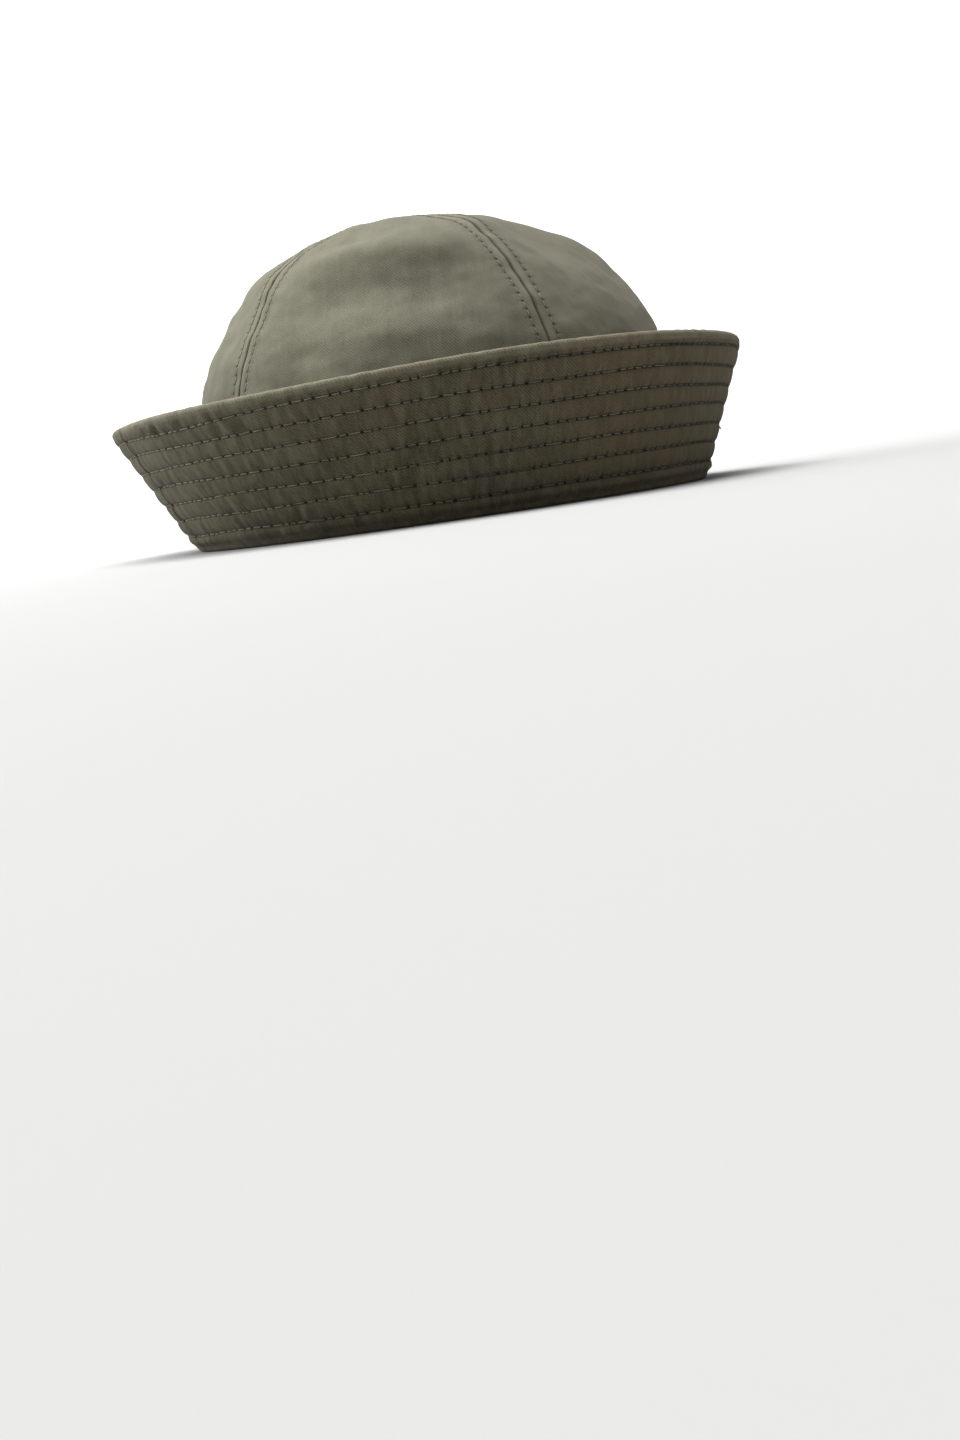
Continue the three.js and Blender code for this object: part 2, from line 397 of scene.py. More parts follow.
def newMaterial(name):
    material = bpy.data.materials.new(name)
    material.use_nodes = True
    return material, material.node_tree, material.node_tree.nodes["Principled BSDF"]


def addBump(tree, shader, height, strength, depth):
    bump = tree.nodes.new("ShaderNodeBump")
    bump.inputs["Strength"].default_value = strength
    bump.inputs["Distance"].default_value = depth * mm
    tree.links.new(height, bump.inputs["Height"])
    tree.links.new(bump.outputs["Normal"], shader.inputs["Normal"])


def clothMaterial(name, look):
    material, tree, shader = newMaterial(name)
    weave = placeGroup(tree, twillGroup, Pitch=look["pitch"], Uneven=look["uneven"])
    fade = placeGroup(tree, fadeGroup, Patch=look["patch"], Streak=look["streak"])
    shadeAndWear = placeGroup(tree, shadeAndWearGroup, Break_up=look["breakUp"])
    holes = placeGroup(tree, holeGroup, Spacing=look["holeSpacing"], Size=look["holeSize"])
    browner = times(tree, fade["Tint"], look["tintShare"])
    toneAndLight = mixColours(tree, browner, look["mid"], look["brown"])
    colour = mixColours(tree, fade["Patches"], look["dark"], toneAndLight)
    shaded = ramp(tree, weave["Wale"], *look["waleRange"], 0.0, look["waleShade"])
    for share, tone in ((times(tree, fade["Streaks"], look["streakShare"]), "pale"),
                        # browner: a random tint, plus painted warm bounce light towards the right
                        (times(tree, browner, look["brownShare"]), "brown"),
                        (shaded, "deep"),
                        (times(tree, fade["Specks"], look["speckShare"]), "pale"),
                        # paler edges: wear and painted highlight
                        (times(tree, shadeAndWear["WearAndHighlight"], look["wearAndHighlightShare"]), "wearAndHighlight"),
                        # painted shade in the seams
                        (times(tree, shadeAndWear["SeamShade"], look["seamShadeShare"]), "deep"),
                        # painted shade in the stitch grooves, darker towards the right
                        (times(tree, holes["Line"], look["grooveShadeShare"]), "deep"),
                        # painted shade in the needle holes and the pulls beside them
                        (times(tree, holes["Hole"], look["holeShadeShare"]), "deep")):
        colour = mixColours(tree, share, colour, look[tone])
    tree.links.new(colour, shader.inputs["Base Color"])
    tree.links.new(ramp(tree, fade["Patches"], 0, 1, *look["roughness"]), shader.inputs["Roughness"])
    shader.inputs["Specular IOR Level"].default_value = look["specular"]
    shader.inputs["Sheen Weight"].default_value = look["sheen"]
    shader.inputs["Sheen Roughness"].default_value = look["sheenRoughness"]
    height = sums(tree, "MULTIPLY_ADD", holes["Hole"], look["holeHeight"], weave["Height"])
    addBump(tree, shader, height, look["bump"], look["bumpDepth"])
    return material


def threadMaterial(name, look):
    material, tree, shader = newMaterial(name)
    along, around = splitVector(tree, gridVector(tree, "clothGrain"))
    turned = times(tree, around, look["plies"])
    twist = sums(tree, "SINE", sums(tree, "MULTIPLY_ADD", along, look["twist"], turned))
    place = objectVector(tree)
    # paleness of the threads: random fading, and painted shade darker towards the right
    uneven = noiseAt(tree, place, look["patch"], 3)
    toneAndLight = sums(tree, "MULTIPLY_ADD", splitVector(tree, place)[0], look["threadShadeSlope"], uneven)
    fadeAndShade = ramp(tree, toneAndLight, *look["fadeAndShadeRange"])
    colour = mixColours(tree, fadeAndShade, look["dark"], look["pale"])
    # darker between the plies: painted shade
    colour = mixColours(tree, ramp(tree, twist, *look["twistRange"]), colour, look["deep"])
    tree.links.new(colour, shader.inputs["Base Color"])
    tree.links.new(ramp(tree, fadeAndShade, 0, 1, *look["roughness"]), shader.inputs["Roughness"])
    shader.inputs["Specular IOR Level"].default_value = look["specular"]
    addBump(tree, shader, twist, look["bump"], look["bumpDepth"])
    return material


# The deep tone is painted shade in the seams, stitch grooves, needle holes and between the wales.
brimLook = {
    "deep": (0.010, 0.009, 0.005, 1), "dark": (0.051, 0.045, 0.028, 1), "mid": (0.092, 0.083, 0.051, 1),
    "brown": (0.114, 0.086, 0.047, 1), "pale": (0.165, 0.152, 0.103, 1), "wearAndHighlight": (0.22, 0.205, 0.15, 1),
    "pitch": 0.8, "uneven": 0.8, "patch": 30.0, "streak": 1.0, "breakUp": 160.0,
    "holeSpacing": 4.2, "holeSize": 0.38, "holeShadeShare": 0.95, "holeHeight": -1.6, "grooveShadeShare": 0.6,
    "tintShare": 0.85, "brownShare": 0.55, "streakShare": 0.45, "waleShade": 0.65, "waleRange": (0.6, 0.0),
    "speckShare": 0.2, "wearAndHighlightShare": 0.4, "seamShadeShare": 0.85,
    "roughness": (0.86, 0.95), "specular": 0.1, "sheen": 0.05, "sheenRoughness": 0.55,
    "bump": 0.7, "bumpDepth": 0.3,
}
# The crown is paler than the brim: partly its own fading, partly painted sheen from the light above.
crownLook = dict(brimLook, dark=(0.087, 0.083, 0.057, 1), mid=(0.115, 0.111, 0.079, 1),
                 brown=(0.115, 0.101, 0.068, 1), pale=(0.170, 0.164, 0.124, 1), tintShare=0.25,
                 streakShare=0.08, waleShade=0.32, speckShare=0.12, seamShadeShare=0.7, bump=0.42,
                 holeSpacing=3.3, holeSize=0.36, holeShadeShare=0.7, grooveShadeShare=0.25)
bandLook = dict(brimLook, dark=(0.050, 0.042, 0.026, 1), mid=(0.074, 0.062, 0.040, 1),
                pale=(0.12, 0.10, 0.07, 1), waleShade=0.3, pitch=0.7, holeSpacing=3.6, holeSize=0.4)
threadLook = {
    "deep": (0.020, 0.018, 0.012, 1), "dark": (0.032, 0.029, 0.019, 1), "pale": (0.22, 0.208, 0.148, 1),
    "twist": 9.0, "plies": 2.0, "twistRange": (0.2, -1.0, 0.0, 0.55), "patch": 24.0,
    "threadShadeSlope": -2.2,  # for each metre to the right, so the right is darker: painted shade of the threads sunk in their grooves
    "fadeAndShadeRange": (0.3, 0.7), "roughness": (0.7, 0.85), "specular": 0.3, "bump": 0.6, "bumpDepth": 0.1,
}
brimTwill = clothMaterial("brimTwill", brimLook)
crownTwill = clothMaterial("crownTwill", crownLook)
bandTape = clothMaterial("bandTape", bandLook)
cottonThread = threadMaterial("cottonThread", threadLook)
print("materials made")


# Brim: stitched layers turned up from the fold, with rolled edges and one seam at the back

brim = {
    "width": 53.0, "wall": 3.0,
    "flare": (29.5, 22, 19.5, 26.5, 27.5, 27.5, 18.5, 16.5),  # degrees from upright, from the front round
    "meanFlare": 0.4,  # outward for each millimetre up the wall
    "rollStart": 2.2, "valleySlope": 4.4, "sway": 0.4, "swayGrowth": 1.6,
    "rows": 7, "firstRow": 7.2, "rowPitch": 6.9, "rowWander": 0.2,
    "lean": 1.3, "leanAzimuth": math.radians(196), "leanReach": math.radians(24),  # top row near the seam
    "stitch": 4.2, "holeDrift": 0.22, "holeShift": 0.37,  # the last two in stitches
    "threadRadius": 0.26, "stitchInset": 0.09, "stitchSlip": 0.1, "stitchLift": 0.04, "unevenLift": 0.08,
    "stitchSeeds": {1: 350, -1: 250},  # outside and inside
    "seamGap": 1.5, "phaseMargin": 0.2, "phaseSteps": 20001,
    "puff": 0.38, "rollPuff": 0.8, "innerPuff": 0.4, "puffSoftness": 1.5, "unevenPuff": 0.16,
    "rollShare": 0.6,  # of the lowest channel, where its puff is full
    "edgeShare": 0.3,  # of the highest channel, where its puff begins to end
    "rowSink": 0.25, "rowSinkReach": 0.45,
    "frontPuff": 1.75, "frontAzimuth": math.radians(284), "frontReach": math.radians(36),
    "pucker": 0.10, "backPucker": 0.12, "stripPucker": 0.14, "stripBackPucker": 0.32,
    "backAzimuth": math.radians(200), "backReach": math.radians(42),
    "gathers": (0.6, 0.4), "gatherSlant": 0.012,  # even and uneven share, and turn in radians
    # the last is the reach of the painted shade along the back seam
    "seamAzimuth": math.pi, "seamSink": 1.3, "seamHalfWidth": 0.65, "seamShadeReach": 0.7,
    "seamPillow": 1.0, "seamPillowReach": 7.0,
    # the second is the reach of the top edge's wear and painted highlight
    "edgeCrimp": 0.03, "wearAndHighlightReach": 1.3, "foldRub": 0.5, "foldRubHeight": 1, "foldRubReach": 1.2,
    "looseEnds": ((336, 2, 3.0),),  # azimuth, stitch row and length of each thread end
    "looseTurn": 0.004, "looseAim": (0.6, -0.7), "looseLift": (0.7, 0.6),  # outward and up
    # fewest and most waves round the cap, and the seed, of each unevenness
    "waves": {"row": (2, 11, 40), "hole": (20, 70, 60), "puff": (5, 30, 80), "gather": (4, 16, 140),
              "slant": (3, 20, 160), "pucker": (55, 150, 100), "sway": (4, 11, 7), "edge": (60, 150, 211)},
    "columns": 690, "seamColumns": 31, "seamColumnSpan": 2.4,  # the span in degrees
    "edgeRows": 7, "grainReach": 11, "foldStep": 1.5,
    "outerSteps": (0, 0.05, 0.12, 0.24, 0.42, 0.58, 0.76, 0.88, 0.95), "innerSteps": (1, 0.88, 0.5, 0.12),
    # outward and height of the fold's turn, from the wall's foot round to the valley inside the brim
    "foldTurn": ((0.35, 0.9), (-0.5, 0.16), (-1.1, 0.0), (-2.3, 0.0), (-3.5, 0.0), (-4.5, 0.35),
                 (-5.15, 1.2), (-5.3, 3.0), (-5.3, 6.6), (-4.9, 6.95), (-3.9, 6.95), (-3.5, 6.6),
                 (-3.4, 4.7), (-2.8, 3.8)),
}
edgeSlope = brim["width"] - brim["wall"] / 2  # where the rolled top edge begins


def brimWaves(name, azimuth, step=0):
    fewest, most, seed = brim["waves"][name]
    return ripples(azimuth, fewest, most, seed + step)


def rowSlope(row, azimuth):
    leaning = bell(turnBetween(azimuth, brim["leanAzimuth"]), brim["leanReach"])
    lean = brim["lean"] * leaning * (row == brim["rows"] - 1)
    wander = brim["rowWander"] * brimWaves("row", azimuth, row)
    return brim["firstRow"] + row * brim["rowPitch"] + wander - lean


def holeCount(row):
    reach = (brim["firstRow"] + row * brim["rowPitch"]) * brim["meanFlare"]
    return round(fullTurn * (fold["halfLength"] + reach) / brim["stitch"])


def holePhase(row, azimuth):
    # whole numbers lie at the needle holes
    drift = brim["holeDrift"] * brimWaves("hole", azimuth, row)
    return holeCount(row) * azimuth / fullTurn + drift + brim["holeShift"] * row


def channelSlopes(channel, azimuth, side):
    start = brim["rollStart"] if side > 0 else brim["valleySlope"]
    low = rowSlope(channel - 1, azimuth) if channel > 0 else start + 0 * azimuth
    high = rowSlope(channel, azimuth) if channel < brim["rows"] else edgeSlope + 0 * azimuth
    return low, high


def brimSwell(channel, across, azimuth, side):
    # how far the cloth stands out of the flat wall
    low, high = channelSlopes(channel, azimuth, side)
    bottom, top = channel == 0, channel == brim["rows"]
    fromLow = farOff if bottom else across * (high - low)
    fromHigh = farOff if top else (1 - across) * (high - low)
    near = np.minimum(fromLow, fromHigh)
    pillow = np.tanh(near / brim["puffSoftness"])
    if bottom:
        pillow = pillow * smooth(across, 0, brim["rollShare"])
    if top:
        pillow = pillow * (1 - smooth(across, brim["edgeShare"], 1))
    fromSeam = np.abs(turnBetween(azimuth, brim["seamAzimuth"])) * fold["halfLength"]
    full = brim["innerPuff"] if side < 0 else brim["rollPuff"] if bottom else brim["puff"]
    full = full * (1 + brim["seamPillow"] * bell(fromSeam, brim["seamPillowReach"]))
    front = bell(turnBetween(azimuth, brim["frontAzimuth"]), brim["frontReach"])
    uneven = brim["unevenPuff"] * brimWaves("puff", azimuth, channel)
    full = full * (1 + brim["frontPuff"] * front + uneven)
    back = bell(turnBetween(azimuth, brim["backAzimuth"]), brim["backReach"])
    pucker = brim["stripPucker" if top else "pucker"]
    pucker = pucker + back * brim["stripBackPucker" if top else "backPucker"]
    gathers = brim["gathers"][0] + brim["gathers"][1] * brimWaves("gather", azimuth, channel)
    slanted = azimuth + brim["gatherSlant"] * (across - 0.5) * brimWaves("slant", azimuth, channel)
    swell = pillow * (full + pucker * gathers * brimWaves("pucker", slanted, channel))
    swell = swell - brim["rowSink"] * bell(near, brim["rowSinkReach"])
    return swell - brim["seamSink"] * bell(fromSeam, brim["seamHalfWidth"])


def wallPoint(azimuth, slope, depth):
    flare = np.radians(aroundTable(brim["flare"], azimuth))
    sway = brim["sway"] * brimWaves("sway", azimuth) * (slope / brim["width"]) ** brim["swayGrowth"]
    outward = slope * np.sin(flare) - depth * np.cos(flare) + sway
    return ringPoints(azimuth, outward, slope * np.cos(flare) + depth * np.sin(flare))


def brimFace(channel, across, azimuth, side):
    low, high = channelSlopes(channel, azimuth, side)
    swell = brimSwell(channel, across, azimuth, side)
    slope = low + across * (high - low)
    return wallPoint(azimuth, slope, -swell if side > 0 else brim["wall"] + swell), slope


def brimRows(azimuth):
    # rows of points from the foot up the outside, over the edge and down the inside to the fold again,
    # each with its slope, its wear and painted highlight, its place along the cloth and the stitch row that
    # its quads lie beside
    fromSeam = np.abs(turnBetween(azimuth, brim["seamAzimuth"])) * fold["halfLength"]
    dip = brim["seamSink"] * bell(fromSeam, brim["seamHalfWidth"])
    still = 0 * azimuth
    for channel in range(brim["rows"] + 1):
        for across in brim["outerSteps"]:
            points, slope = brimFace(channel, across, azimuth, 1)
            # paler towards the rolled top edge: partly wear, partly painted highlight
            wearAndHighlightAmount = smooth(slope, edgeSlope - brim["wearAndHighlightReach"], edgeSlope)
            yield points, slope, wearAndHighlightAmount, slope.mean(), channel - 1 if across < 0.5 else channel
    crimp = 1 + brim["edgeCrimp"] * brimWaves("edge", azimuth)
    # the whole rolled edge is paler: partly wear, partly painted highlight
    for turn in np.linspace(0, math.pi, brim["edgeRows"]):
        depth = brim["wall"] / 2 * (1 - math.cos(turn))
        lift = brim["wall"] / 2 * math.sin(turn) * crimp
        yield wallPoint(azimuth, edgeSlope + lift - dip, depth), still, still + 1, edgeSlope + depth, -1
    for channel in reversed(range(brim["rows"] + 1)):
        for across in brim["innerSteps"][channel == brim["rows"]:]:
            points, slope = brimFace(channel, across, azimuth, -1)
            place = 2 * edgeSlope + brim["wall"] - slope.mean()
            yield points, slope, still, place, channel if across > 0.5 else channel - 1
    for index, (outward, height) in enumerate(reversed(brim["foldTurn"])):
        wearAndHighlightAmount = brim["foldRub"] * bell(height - brim["foldRubHeight"], brim["foldRubReach"])
        place = 2 * edgeSlope + brim["foldStep"] * index
        yield ringPoints(azimuth, outward, height), still, still + wearAndHighlightAmount, place, -1


def makeBrim():
    even = np.arange(brim["columns"]) / brim["columns"] * fullTurn
    span = brim["seamColumnSpan"]
    atSeam = np.radians(np.linspace(-span, span, brim["seamColumns"])) % fullTurn
    azimuth = brim["seamAzimuth"] + np.unique(np.round(np.concatenate([even, atSeam]), 6))
    points, slopes, wearAndHighlightAmount, places, stitchRows = zip(*brimRows(azimuth))
    around = np.append(azimuth, fullTurn + azimuth[0])
    slopes = np.stack(slopes)
    slopes = np.concatenate([slopes, slopes[:, :1]], 1)
    holes = []
    for index, row in enumerate(stitchRows):
        beside = np.full((2, len(around)), farOff)
        if 0 <= row < brim["rows"]:
            beside = slopes[[index, (index + 1) % len(slopes)]] - rowSlope(row, around)
        holes.append(cornerPairs(holePhase(row, around)[None], beside))
    along = around * (fold["halfLength"] + brim["grainReach"])
    up = np.append(places, places[-1] + brim["foldStep"])
    fromSeam = turnBetween(azimuth, brim["seamAzimuth"]) * fold["halfLength"]
    # painted shade in the back seam's furrow
    seamShade = np.tile(bell(fromSeam, brim["seamShadeReach"]), (len(points), 1))
    masks = {"seamShade": seamShade, "wearAndHighlight": np.stack(wearAndHighlightAmount)}
    grids = {"clothGrain": cornerPairs(along[None], up[:, None]), "stitchGrid": np.concatenate(holes)}
    quads = ringQuads(len(points), len(azimuth))
    addMesh("brimCloth", np.stack(points), quads, grids, masks, brimTwill, ("brim",))


def makeBrimStitches():
    fine = np.linspace(-brim["phaseMargin"], fullTurn + brim["phaseMargin"], brim["phaseSteps"])
    starts, ends, lifts = [], [], []
    for side in (1, -1):
        for row in range(brim["rows"]):
            phase = holePhase(row, fine)
            first = math.ceil(np.interp(0, fine, phase))
            holes = np.interp(first + np.arange(holeCount(row) + 1), phase, fine)
            inset = brim["stitchInset"] * np.diff(holes)
            middle = (holes[:-1] + holes[1:]) / 2
            begin = brimFace(row + 1, 0 * middle, holes[:-1] + inset, side)[0]
            finish = brimFace(row + 1, 0 * middle, holes[1:] - inset, side)[0]
            flare = np.radians(aroundTable(brim["flare"], middle))
            raised = ringPoints(middle, side * np.cos(flare), -side * np.sin(flare))
            lift = raised - ringPoints(middle, 0, 0)
            draw = np.random.default_rng(brim["stitchSeeds"][side] + row)
            slip = draw.normal(0, brim["stitchSlip"], (2, len(middle), 1)) * np.array([0, 0, 1.0])
            away = brim["stitchLift"] + brim["unevenLift"] * draw.random((len(middle), 1))
            fromSeam = np.abs(turnBetween(middle, brim["seamAzimuth"])) * fold["halfLength"]
            clear = fromSeam > brim["seamGap"]
            starts.append((begin + slip[0] + lift * away)[clear])
            ends.append((finish + slip[1] + lift * away)[clear])
            lifts.append(lift[clear])
    for azimuth, row, length in brim["looseEnds"]:
        turn = np.radians([azimuth])
        root = brimFace(row + 1, 0 * turn, turn, 1)[0]
        foot = ringPoints(turn, 0, 0)
        starts.append(root)
        ends.append(root + length * (ringPoints(turn + brim["looseTurn"], *brim["looseAim"]) - foot))
        lifts.append(ringPoints(turn, *brim["looseLift"]) - foot)
    addStitches("brimStitches", starts, ends, lifts, brim["threadRadius"])


makeBrim()
makeBrimStitches()


# Crown: four soft panels with felled seams

crown = {
    "foot": 7.3, "top": 110.0, "outward": -4.0, "wall": 1.3, "plumpness": 2.3, "flatness": 2.22,
    "topShift": (-8.0, -2.0), "centreHeight": 30.0, "calmReach": 0.4, "footCalm": 12, "puff": 1.4,
    "seams": (12, 105, 198, 274), "columns": 140, "rows": 130, "tipRadius": 0.25, "crowding": 0.75,
    "allowance": (4.2, 6.2), "allowanceRise": 0.22, "seamSink": 0.55, "seamReach": 0.42, "tipSink": 0.35,
    "seamPucker": 0.10, "seamPuckerReach": 7, "seamPuckerNoise": (7.5, 8),  # wavelength and seed
    "stitch": 3.3, "stitchAway": 4.0, "stitchSink": 0.3, "stitchSinkReach": 0.6,
    "threadRadius": 0.2, "stitchLift": 0.09, "stitchInset": 0.4,
    "stitchEnd": 12.0, "seamEnd": (7.0, 16.0),  # panel widths near the tip where the sewing runs out
    "lastStitchClimb": 1.45, "stitchLineSteps": 1500,
    # the first is the reach of the painted shade along the seams
    "seamShadeReach": 0.5, "rub": 0.4, "rubAway": 1.6, "wearAndHighlightReach": 0.8,
    # depth, flattening, wavelength and seed of the slack, the crumple and the crinkle
    "uneven": ((0.5, 1, 38, 5), (0.14, 1.7, 13, 6), (0.035, 1.5, 5.5, 9)),
    # azimuth, height, span around, span up, push
    "folds": ((190, 90, 12, 8, 1.8), (224, 101, 13, 6, -2.6), (236, 76, 26, 9, -3.5), (240, 91, 26, 6, 2.7),
              (278, 99, 10, 7, 1.6), (296, 92, 9, 10, -3.0), (322, 88, 13, 10, 1.6), (20, 74, 12, 14, -1.8),
              (62, 84, 24, 10, -2.4), (150, 80, 20, 9, -2.2)),
}
panelNodes = ("crown_panel_front_left", "crown_panel_back_left",
              "crown_panel_back_right", "crown_panel_front_right")


def crownReach(climb):
    return np.maximum(np.cos(climb), 0) ** (2 / crown["plumpness"])


def seamSpan(panel):
    start = math.radians(crown["seams"][panel])
    end = math.radians(crown["seams"][(panel + 1) % len(crown["seams"])])
    return start, start + (end - start) % fullTurn


def crownPush(point, azimuth, climb, puff, fromSeam, room):
    # how far the cloth stands out of the plain dome; fromSeam and room are millimetres along the cloth
    height = point[..., 2]
    calm = smooth(crownReach(climb), 0, crown["calmReach"])
    footCalm = smooth(height, crown["foot"], crown["foot"] + crown["footCalm"])
    push = puff * np.sin(2 * climb)
    for turn, level, around, upward, depth in crown["folds"]:
        turned = turnBetween(azimuth, math.radians(turn))
        push = push + depth * bell(turned, math.radians(around)) * bell(height - level, upward)
    for depth, squeeze, wavelength, seed in crown["uneven"]:
        push = push + depth * clothNoise(point * np.array([1, 1, squeeze]), wavelength, seed) * footCalm
    sewn = smooth(room, *crown["seamEnd"])  # the seams run together at the tip
    pucker = crown["seamPucker"] * clothNoise(point, *crown["seamPuckerNoise"])
    seam = pucker * np.exp(-fromSeam / crown["seamPuckerReach"])
    seam = seam + crown["allowanceRise"] * (1 - smooth(fromSeam, *crown["allowance"]))
    seam = seam - crown["stitchSink"] * bell(fromSeam - crown["stitchAway"], crown["stitchSinkReach"])
    sinking = crown["tipSink"] + (1 - crown["tipSink"]) * sewn
    groove = crown["seamSink"] * bell(fromSeam, crown["seamReach"]) * sinking
    return push * calm + seam * sewn - groove


def panelPoints(panel, across, climb):
    # outer face of the cloth, the way out of it, the panel's width there and the distance from its seam
    start, end = seamSpan(panel)
    azimuth = start + across * (end - start)
    reach = crownReach(climb)
    room = (end - start) * fold["halfLength"] * reach
    fromSeam = np.minimum(across, 1 - across) * room
    point = ringPoints(azimuth, crown["outward"], 0 * climb)
    top = np.array(crown["topShift"])
    point[..., :2] = top + (point[..., :2] - top) * reach[..., None]
    rise = np.sin(climb) ** (2 / crown["flatness"])
    point[..., 2] = crown["foot"] + (crown["top"] - crown["foot"]) * rise
    puff = crown["puff"] * np.sin(math.pi * across)
    push = crownPush(point, azimuth, climb, puff, fromSeam, room)
    out = point - np.array([0, 0, crown["centreHeight"]])
    out = out / np.linalg.norm(out, axis=-1)[..., None]
    return point + out * push[..., None], out, room, fromSeam


def seamRun(panel, atEnd):
    # the stitch line beside a seam, and how far along it each point is
    climb = np.linspace(0.0, crown["lastStitchClimb"], crown["stitchLineSteps"])
    start, end = seamSpan(panel)
    share = crown["stitchAway"] / ((end - start) * fold["halfLength"] * crownReach(climb))
    points, out, room = panelPoints(panel, 1 - share if atEnd else share, climb)[:3]
    steps = np.linalg.norm(np.diff(points, axis=0), axis=1)
    return climb, np.concatenate([[0], np.cumsum(steps)]), points, out, room


def makePanel(panel):
    columns, rows = crown["columns"], crown["rows"]
    even = np.linspace(0, 1, columns)
    crowded = 0.5 - 0.5 * np.cos(math.pi * even)  # closer together at the seams
    across = (1 - crown["crowding"]) * even + crown["crowding"] * crowded
    lastClimb = math.acos((crown["tipRadius"] / fold["halfLength"]) ** (crown["plumpness"] / 2))
    across, climb = np.meshgrid(across, np.linspace(0, lastClimb, rows))
    outer, out, room, fromSeam = panelPoints(panel, across, climb)
    inner = outer - out * crown["wall"]
    inner[0, :, 2] = outer[0, :, 2]
    count = rows * columns
    row, column = np.meshgrid(np.arange(rows - 1), np.arange(columns - 1), indexing="ij")
    base = (row * columns + column).reshape(-1)
    face = np.stack([base, base + 1, base + columns + 1, base + columns], -1)
    border = np.concatenate([np.arange(columns - 1), np.arange(columns - 1, count - 1, columns),
                             np.arange(count - 1, count - columns, -1),
                             np.arange(count - columns, 0, -columns)])
    rim = np.stack([np.roll(border, -1), border, border + count, np.roll(border, -1) + count], -1)
    quads = np.concatenate([face, face[:, ::-1] + count, rim])
    rises = np.linalg.norm(np.diff(outer, axis=0), axis=2).mean(1)
    up = np.concatenate([[0], np.cumsum(rises)])
    local = np.stack(np.broadcast_arrays((across - 0.5) * room, up[:, None]), -1).reshape(-1, 2)
    runs = [np.interp(climb, *seamRun(panel, atEnd)[:2]) for atEnd in (False, True)]
    hole = np.where(across < 0.5, *runs) / crown["stitch"]
    beside = np.where(room > crown["stitchEnd"], fromSeam - crown["stitchAway"], farOff)
    holes = np.stack([hole, beside], -1).reshape(-1, 2)
    grids = {"clothGrain": np.concatenate([local, local])[quads],
             "stitchGrid": np.concatenate([holes, holes])[quads]}
    # painted shade along the seams
    seamShade = bell(fromSeam, crown["seamShadeReach"]).ravel()
    wearAndHighlight = crown["rub"] * bell(fromSeam - crown["rubAway"], crown["wearAndHighlightReach"])
    wearAndHighlight = (wearAndHighlight * smooth(room, *crown["seamEnd"])).ravel()
    masks = {"seamShade": np.append(seamShade, seamShade), "wearAndHighlight": np.append(wearAndHighlight, 0 * wearAndHighlight)}
    name = panelNodes[panel].replace("crown_panel_", "crownCloth_")
    both = np.concatenate([outer.reshape(-1, 3), inner.reshape(-1, 3)])
    addMesh(name, both, quads, grids, masks, crownTwill, (panelNodes[panel],))


def alongRun(places, run, values):
    return np.stack([np.interp(places, run, values[:, axis]) for axis in range(3)], -1)


def makeCrownStitches():
    starts, ends, lifts = [], [], []
    for panel in range(len(panelNodes)):
        for atEnd in (False, True):
            run, points, out, room = seamRun(panel, atEnd)[1:]
            length = run[room > crown["stitchEnd"]][-1]
            holes = np.arange(1, int(length / crown["stitch"])) * crown["stitch"]
            lift = alongRun((holes[:-1] + holes[1:]) / 2, run, out)
            for depth, side in ((0, 1), (crown["wall"], -1)):
                away = (crown["stitchLift"] * side - depth) * lift
                starts.append(alongRun(holes[:-1] + crown["stitchInset"], run, points) + away)
                ends.append(alongRun(holes[1:] - crown["stitchInset"], run, points) + away)
                lifts.append(side * lift)
    addStitches("crownStitches", starts, ends, lifts, crown["threadRadius"])


for panelIndex in range(len(panelNodes)):
    makePanel(panelIndex)
makeCrownStitches()


# Sweatband: a worn tape inside the join

band = {
    "bottom": 1.4, "top": 25.0, "bottomOutward": -5.6, "topOutward": -6.9, "wall": 1.0, "thinned": 0.25,
    "columns": 480, "steps": 22, "grainInward": 6, "wearAndHighlightReach": 0.8,
    "looseFrom": 0.25, "wave": 0.35, "crinkle": 0.06,
    "waves": (6, 24, 501), "crinkles": (60, 130, 502),  # fewest and most round the cap, and the seed
    "hemRise": 0.25, "hemInset": 2.0, "hemSoftness": 1.2,
    "stitch": 3.6, "stitchInward": 7, "stitchHeights": (4.2, 22.6),
    "stitchSink": 0.18, "stitchSinkReach": 0.5,
    "threadRadius": 0.2, "stitchInset": 0.12, "stitchLift": 0.08,
}
bandStitchCount = round(fullTurn * (fold["halfLength"] - band["stitchInward"]) / band["stitch"])


def bandPoint(azimuth, rise, inside):
    loose = smooth(rise, band["looseFrom"], 1)
    outward = band["bottomOutward"] + (band["topOutward"] - band["bottomOutward"]) * rise
    height = band["bottom"] + (band["top"] - band["bottom"]) * rise
    drift = -band["wave"] * loose * (1 + ripples(azimuth, *band["waves"]))
    drift = drift - band["crinkle"] * loose * ripples(azimuth, *band["crinkles"])
    fromEdge = min(height - band["bottom"], band["top"] - height)
    hem = band["hemRise"] * (1 - smooth(fromEdge, band["hemInset"], band["hemInset"] + band["hemSoftness"]))
    sunk = sum(band["stitchSink"] * bell(height - level, band["stitchSinkReach"])
               for level in band["stitchHeights"])
    thickness = band["wall"] - band["thinned"] + hem - sunk
    return ringPoints(azimuth, outward + drift - inside * thickness, height)


